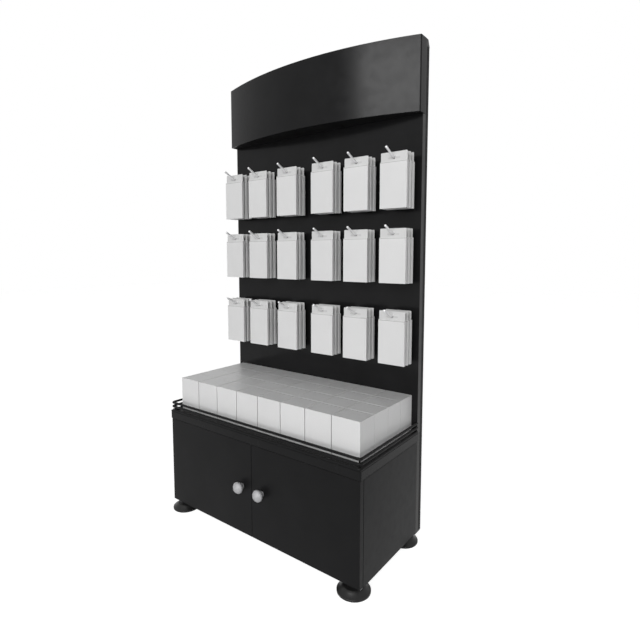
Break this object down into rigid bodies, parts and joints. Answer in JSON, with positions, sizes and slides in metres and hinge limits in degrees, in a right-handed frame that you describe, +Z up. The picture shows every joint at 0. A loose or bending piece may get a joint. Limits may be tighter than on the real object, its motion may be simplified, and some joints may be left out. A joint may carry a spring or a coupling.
{
  "type": "hook display stand",
  "caption": "Floor display stand: black cabinet with swing doors, gallery rail and levelling feet, tall panel with rows of peg hooks holding blank hang packs, and a bow-fronted header.",
  "frame": {"origin": "on the floor, under the middle of the overall box", "axes": "+Z up, +Y from the doors to the back, +X to the right seen from the front"},
  "size_m": [0.926, 0.455, 1.7514],
  "materials": {
    "cabinet_lacquer": "satin black lacquer on board",
    "counter_gloss": "high gloss black lacquer",
    "panel_lacquer": "satin black lacquer on board",
    "header_gloss": "gloss black",
    "header_boards": "black stain",
    "bare_wood": "planed, unfinished",
    "frame_paint": "fine matt black powder coat",
    "black_plastic": "moulded, low sheen",
    "hook_plating": "bright zinc plate",
    "rail_paint": "satin black powder coat",
    "knob_satin": "satin turned",
    "zinc_hardware": "zinc plate",
    "black_screws": "black coated steel",
    "white_nylon": "moulded nylon",
    "buffer_rubber": "soft black rubber",
    "pack_card": "blank coated card",
    "carton_card": "blank coated card"
  },
  "bodies": {
    "stand": {"side_left": "cabinet_lacquer", "side_right": "cabinet_lacquer", "bottom_board": "cabinet_lacquer", "cabinet_back": "cabinet_lacquer", "counter_top": "counter_gloss", "inner_shelf": "cabinet_lacquer", "shelf_pins": "zinc_hardware", "carcase_dowels": "bare_wood", "foot_inserts": "zinc_hardware", "pivot_plates_left": "zinc_hardware", "pivot_plates_right": "zinc_hardware", "pivot_screws": "zinc_hardware", "catch_bodies": "white_nylon", "catch_magnets": "zinc_hardware", "catch_screws": "zinc_hardware", "gallery_wire_lower": "rail_paint", "gallery_wire_middle": "rail_paint", "gallery_wire_upper": "rail_paint", "gallery_posts": "rail_paint", "back_panel": "panel_lacquer", "upright_left": "frame_paint", "upright_right": "frame_paint", "cross_rails": "frame_paint", "upright_caps": "black_plastic", "frame_screws": "zinc_hardware", "panel_screws": "zinc_hardware", "header_shell": "header_gloss", "header_top_board": "header_boards", "header_bottom_board": "header_boards", "header_battens": "bare_wood", "header_screws": "black_screws", "hooks_top_row": "hook_plating", "hooks_middle_row": "hook_plating", "hooks_bottom_row": "hook_plating", "hook_washers": "zinc_hardware", "hook_nuts": "zinc_hardware", "packs_top_row": "pack_card", "packs_middle_row": "pack_card", "packs_bottom_row": "pack_card", "cartons": "carton_card"},
    "door_left": {"door_left": "cabinet_lacquer", "knob_left": "knob_satin", "door_screws_left": "zinc_hardware", "door_bushes_left": "white_nylon", "strike_plate_left": "zinc_hardware", "door_buffers_left": "buffer_rubber"},
    "door_right": {"door_right": "cabinet_lacquer", "knob_right": "knob_satin", "door_screws_right": "zinc_hardware", "door_bushes_right": "white_nylon", "strike_plate_right": "zinc_hardware", "door_buffers_right": "buffer_rubber"},
    "foot_pad_front_left": {"foot_pad_front_left": "black_plastic"},
    "foot_stem_front_left": {"foot_stem_front_left": "zinc_hardware"},
    "foot_pad_front_right": {"foot_pad_front_right": "black_plastic"},
    "foot_stem_front_right": {"foot_stem_front_right": "zinc_hardware"},
    "foot_pad_rear_left": {"foot_pad_rear_left": "black_plastic"},
    "foot_stem_rear_left": {"foot_stem_rear_left": "zinc_hardware"},
    "foot_pad_rear_right": {"foot_pad_rear_right": "black_plastic"},
    "foot_stem_rear_right": {"foot_stem_rear_right": "zinc_hardware"}
  },
  "joints": [
    {"name": "door_left_swing", "type": "hinge", "parent": "stand", "child": "door_left", "pos_m": [-0.4445, -0.18, 0.0334], "axis": [0, 0, 1], "range_deg": [-105, 0]},
    {"name": "door_right_swing", "type": "hinge", "parent": "stand", "child": "door_right", "pos_m": [0.4445, -0.18, 0.0334], "axis": [0, 0, 1], "range_deg": [0, 105]},
    {"name": "foot_front_left_height", "type": "slide", "parent": "stand", "child": "foot_pad_front_left", "axis": [0, 0, -1], "range_m": [0, 0.008]},
    {"name": "foot_front_left_turn", "type": "hinge", "parent": "foot_pad_front_left", "child": "foot_stem_front_left", "pos_m": [-0.4095, -0.1619, 0.0264], "axis": [0, 0, 1], "range_deg": [-1921, 0]},
    {"name": "foot_front_right_height", "type": "slide", "parent": "stand", "child": "foot_pad_front_right", "axis": [0, 0, -1], "range_m": [0, 0.008]},
    {"name": "foot_front_right_turn", "type": "hinge", "parent": "foot_pad_front_right", "child": "foot_stem_front_right", "pos_m": [0.4095, -0.1619, 0.0264], "axis": [0, 0, 1], "range_deg": [-1921, 0]},
    {"name": "foot_rear_left_height", "type": "slide", "parent": "stand", "child": "foot_pad_rear_left", "axis": [0, 0, -1], "range_m": [0, 0.008]},
    {"name": "foot_rear_left_turn", "type": "hinge", "parent": "foot_pad_rear_left", "child": "foot_stem_rear_left", "pos_m": [-0.4095, 0.1638, 0.0264], "axis": [0, 0, 1], "range_deg": [-1921, 0]},
    {"name": "foot_rear_right_height", "type": "slide", "parent": "stand", "child": "foot_pad_rear_right", "axis": [0, 0, -1], "range_m": [0, 0.008]},
    {"name": "foot_rear_right_turn", "type": "hinge", "parent": "foot_pad_rear_right", "child": "foot_stem_rear_right", "pos_m": [0.4095, 0.1638, 0.0264], "axis": [0, 0, 1], "range_deg": [-1921, 0]}
  ],
  "couplings": [
    {"joint": "foot_front_left_turn", "follows": "foot_front_left_height", "rad_per_m": -4188.8},
    {"joint": "foot_front_right_turn", "follows": "foot_front_right_height", "rad_per_m": -4188.8},
    {"joint": "foot_rear_left_turn", "follows": "foot_rear_left_height", "rad_per_m": -4188.8},
    {"joint": "foot_rear_right_turn", "follows": "foot_rear_right_height", "rad_per_m": -4188.8}
  ]
}
